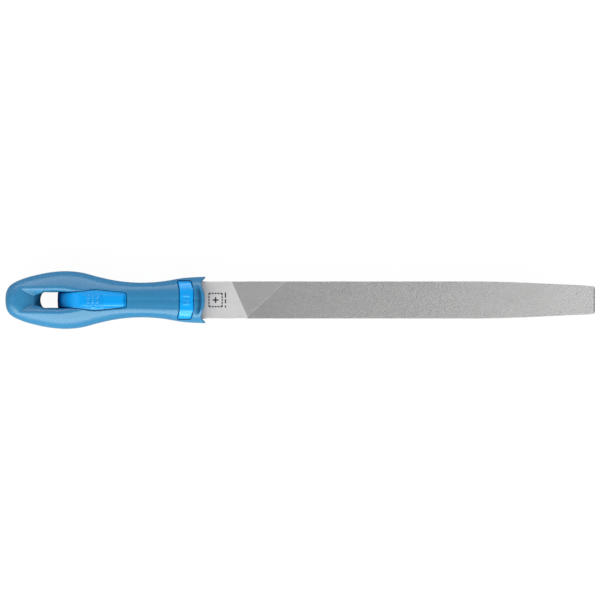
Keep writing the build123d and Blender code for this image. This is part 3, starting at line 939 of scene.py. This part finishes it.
def steel_material(name, grey, rough, scratches, strength, cloud, painted_tip_light=1.0):
    """Steel whose scratches have their own noise cells per millimetre along X, Y and Z.

    Its cloudiness is cloud. Light is painted along the cut: the colour at the cut's middle is 1.3 times that at
    its start, and at the tip it is the given tip factor times that at the start.
    """
    made = Surface(name, Metallic=1.0)
    lines = made.noise(scratches, detail=5.0, roughness=0.65)
    patches = made.noise((0.05, 0.12, 0.12), detail=3.0)
    dark, light = (tuple(grey * share * warm for warm in STEEL_WARMTH) for share in (1 - cloud, 1 + cloud))
    tone = made.ramp(patches, (0.25, dark), (0.75, light))
    streak = made.ramp(lines, (0.3, 1 - 2 * cloud), (0.68, 1.0))
    tone = made.blend("MULTIPLY", 1.0, tone, streak)
    # Painted light along the blade: the colour is lifted from the start of the cut towards its middle and on to
    # the tip.
    along = made.node("ShaderNodeSeparateXYZ")
    made.join(made.place, along.inputs["Vector"])
    share = made.node("ShaderNodeMapRange")
    share.inputs["From Min"].default_value = x_at(FIRST_CUT["start_s"]) * MM
    share.inputs["From Max"].default_value = TIP_X * MM
    made.join(along.outputs["X"], share.inputs["Value"])
    reach = made.ramp(share.outputs["Result"], (0.0, 1 / painted_tip_light), (0.5, 1.3 / painted_tip_light), (1.0, 1.0))
    made.join(made.blend("MULTIPLY", 1.0, tone, reach), made.shader.inputs["Base Color"])
    made.join(made.ramp(lines, (0.3, rough + 0.05), (0.7, rough - 0.05)), made.shader.inputs["Roughness"])
    made.bump((lines, strength, 0.03))
    return made.material


def dark_material(name, low, high, rough):
    """Dark etched or oil-blackened steel, mottled."""
    made = Surface(name, Metallic=0.6, Roughness=rough)
    mottle = made.noise((0.7, 0.7, 0.7), detail=4.0)
    made.join(made.ramp(mottle, (0.3, low), (0.7, high)), made.shader.inputs["Base Color"])
    made.bump((mottle, 0.4, 0.05))
    return made.material


# Pieces


def add_handle():
    handle = Handle(*GRID_ENDS)
    grip = add_object("grip_jacket", handle.mesh("grip_jacket", handle.grip()), "handle", grip_material())
    thin(grip, GRIP_TRIANGLES)
    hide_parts("handle_grip")
    core = add_object("core_moulding", handle.mesh("core_moulding", handle.core()), "handle", core_material())
    thin(core, CORE_TRIANGLES)
    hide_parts("handle_core")


def add_file():
    steels = (
        steel_material("heel_steel", 0.67, 0.5, (1.6, 0.03, 0.5), 0.15, 0.05),
        steel_material("single_cut_steel", 0.325, 0.5, (0.9, 0.9, 0.9), 0.12, 0.03),
        steel_material("cut_steel", 0.457, 0.55, (0.9, 0.9, 0.9), 0.12, 0.03, 1.8),
        steel_material("edge_steel", 0.36, 0.45, (0.03, 1.6, 1.6), 0.2, 0.07),
        steel_material("end_steel", 0.22, 0.45, (0.6, 1.6, 1.6), 0.2, 0.07),
        dark_material("tang_steel", 0.08, 0.16, 0.55),
    )
    blade = add_object("file_blade", blade_mesh(), "file", *steels)
    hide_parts("file")


def add_heel_mark():
    """A plain etched sign on the heel: a square of dashes with a cross in it, and bars beside it."""
    top = BLADE_HALF_HEIGHT - TOOTH_RISE + MARK_STAND
    bars = []
    for number in range(MARK_DASHES):
        along = (number - (MARK_DASHES - 1) / 2) * MARK_SIDE / (MARK_DASHES - 0.3)
        for across in (-MARK_SIDE / 2, MARK_SIDE / 2):
            bars.append((along, across, MARK_DASH, MARK_LINE))
            bars.append((across, along, MARK_LINE, MARK_DASH))
    bars += [(0.0, 0.0, MARK_CROSS, MARK_LINE), (0.0, 0.0, MARK_LINE, MARK_CROSS)]
    bars += [(MARK_BARS_X, y, MARK_LINE, length) for y, length in MARK_BARS]
    mark = bmesh.new()
    for x, y, length, width in bars:
        made = bmesh.ops.create_cube(mark, size=1.0)["verts"]
        bmesh.ops.scale(mark, verts=made, vec=(length * MM, width * MM, MARK_THICKNESS * MM))
        centre = Vector((x_at(MARK_S) + x, y, top - MARK_THICKNESS / 2)) * MM
        bmesh.ops.translate(mark, verts=made, vec=centre)
    mesh = bpy.data.meshes.new("heel_mark")
    mark.to_mesh(mesh)
    mark.free()
    heel_mark = add_object("heel_mark", mesh, "file", dark_material("etched_mark", 0.02, 0.05, 0.6))


# Studio, in metres

GROUND_REACH = 6.0
FILM_GAP = 0.0002

# The tent's light: how far towards +Z, +Y or +X one looks, as a sine, and the level there
TENT_HEIGHTS = (
    (-0.1, 0.0),
    (-0.05, 1.5),
    (0.0, 2.0),
    (0.25, 1.4),
    (0.42, 0.55),
    (0.6, 0.5),
    (0.8, 1.3),
    (0.94, 0.35),
)
TENT_SIDES = ((-1.0, 1.3), (0.0, 1.0), (1.0, 1.15))
TENT_ENDS = ((-1.0, 0.45), (-0.9, 0.5), (-0.6, 0.9), (-0.25, 1.0), (0.25, 1.0), (0.5, 0.5), (1.0, 0.05))
SOFTBOX_SIZE = (2.6, 1.0)
SOFTBOX_TARGET = (-0.05, 0.0, 0.0)
SOFTBOXES = (
    # name, place, power in watts, colour
    ("near_softbox", (-0.1, -1.1, 0.6), 42.0, (0.92, 1.0, 0.9)),
    ("far_softbox", (0.1, 1.15, 0.4), 19.0, (0.95, 1.0, 1.0)),
)


def add_softbox(name, place, power, colour):
    light = bpy.data.lights.new(name, "AREA")
    light.shape = "RECTANGLE"
    light.size, light.size_y = SOFTBOX_SIZE
    light.energy = power
    light.color = colour
    softbox = bpy.data.objects.new(name, light)
    softbox.visible_camera = False
    softbox.location = place
    softbox.rotation_euler = (Vector(SOFTBOX_TARGET) - Vector(place)).to_track_quat("-Z", "Y").to_euler()
    bpy.context.scene.collection.objects.link(softbox)


def add_ground(name, level, colour, glow):
    mesh = bpy.data.meshes.new(name)
    corners = [(x * GROUND_REACH, y * GROUND_REACH, level) for x, y in ((-1, -1), (1, -1), (1, 1), (-1, 1))]
    mesh.from_pydata(corners, [], [(0, 1, 2, 3)])
    ground = bpy.data.objects.new(name, mesh)
    bpy.context.scene.collection.objects.link(ground)
    pale = Surface(name, Roughness=0.9, Specular_IOR_Level=0.0)
    pale.shader.inputs["Base Color"].default_value = (colour, colour, colour, 1.0)
    pale.shader.inputs["Emission Color"].default_value = (1.0, 1.0, 1.0, 1.0)
    pale.shader.inputs["Emission Strength"].default_value = glow
    mesh.materials.append(pale.material)
    return ground


def add_floor():
    """A table that the tool lies on, and over it a glowing film, which keeps the floor white to the eye."""
    table = add_ground("table", cad_low.z - 2 * FILM_GAP, 0.3, 0.0)
    table.visible_camera = False
    film = add_ground("white_floor", cad_low.z - FILM_GAP, 0.05, 0.95)
    film.visible_diffuse = False
    film.visible_glossy = False
    film.visible_shadow = False


def add_world():
    """A white tent whose light depends on how high, and towards which side and end, one looks."""
    world = bpy.data.worlds.new("studio")
    world.use_nodes = True
    tree = world.node_tree
    place = tree.nodes.new("ShaderNodeTexCoord")
    split = tree.nodes.new("ShaderNodeSeparateXYZ")
    tree.links.new(place.outputs["Generated"], split.inputs["Vector"])
    light = None
    for axis, stops in (("Z", TENT_HEIGHTS), ("Y", TENT_SIDES), ("X", TENT_ENDS)):
        share = tree.nodes.new("ShaderNodeMapRange")
        share.inputs["From Min"].default_value = -1.0
        tree.links.new(split.outputs[axis], share.inputs["Value"])
        tone = tree.nodes.new("ShaderNodeValToRGB")
        while len(tone.color_ramp.elements) < len(stops):
            tone.color_ramp.elements.new(0.5)
        for element, (sine, level) in zip(tone.color_ramp.elements, stops):
            element.position = (sine + 1) / 2
            element.color = (level, level, level, 1.0)
        tree.links.new(share.outputs["Result"], tone.inputs["Fac"])
        light = multiplied(tree, light, tone.outputs["Color"]) if light else tone.outputs["Color"]
    tree.links.new(light, tree.nodes["Background"].inputs["Color"])
    bpy.context.scene.world = world


def multiplied(tree, one, two):
    """Two colours multiplied together."""
    product = tree.nodes.new("ShaderNodeMix")
    product.data_type = "RGBA"
    product.blend_type = "MULTIPLY"
    product.inputs["Factor"].default_value = 1.0
    first, second = (socket for socket in product.inputs if socket.type == "RGBA")
    tree.links.new(one, first)
    tree.links.new(two, second)
    return next(socket for socket in product.outputs if socket.type == "RGBA")


def add_studio():
    add_floor()
    add_world()
    for softbox in SOFTBOXES:
        add_softbox(*softbox)


TOOL_SHARE = 0.9821667  # of the picture's width
LENS = 200.0
SENSOR_WIDTH = 36.0


def add_camera():
    """Straight above the tool, far off, with the handle on the left."""
    width = (TIP_X - BUTT_X) * MM / TOOL_SHARE
    data = bpy.data.cameras.new("camera")
    data.lens = LENS
    data.sensor_width = SENSOR_WIDTH
    data.clip_end = 20.0
    camera = bpy.data.objects.new("camera", data)
    camera.location = (0.0, 0.0, width * data.lens / data.sensor_width)
    bpy.context.scene.collection.objects.link(camera)
    bpy.context.scene.camera = camera


add_handle()
add_file()
add_heel_mark()
add_studio()
add_camera()
bpy.context.scene.view_settings.view_transform = "Standard"
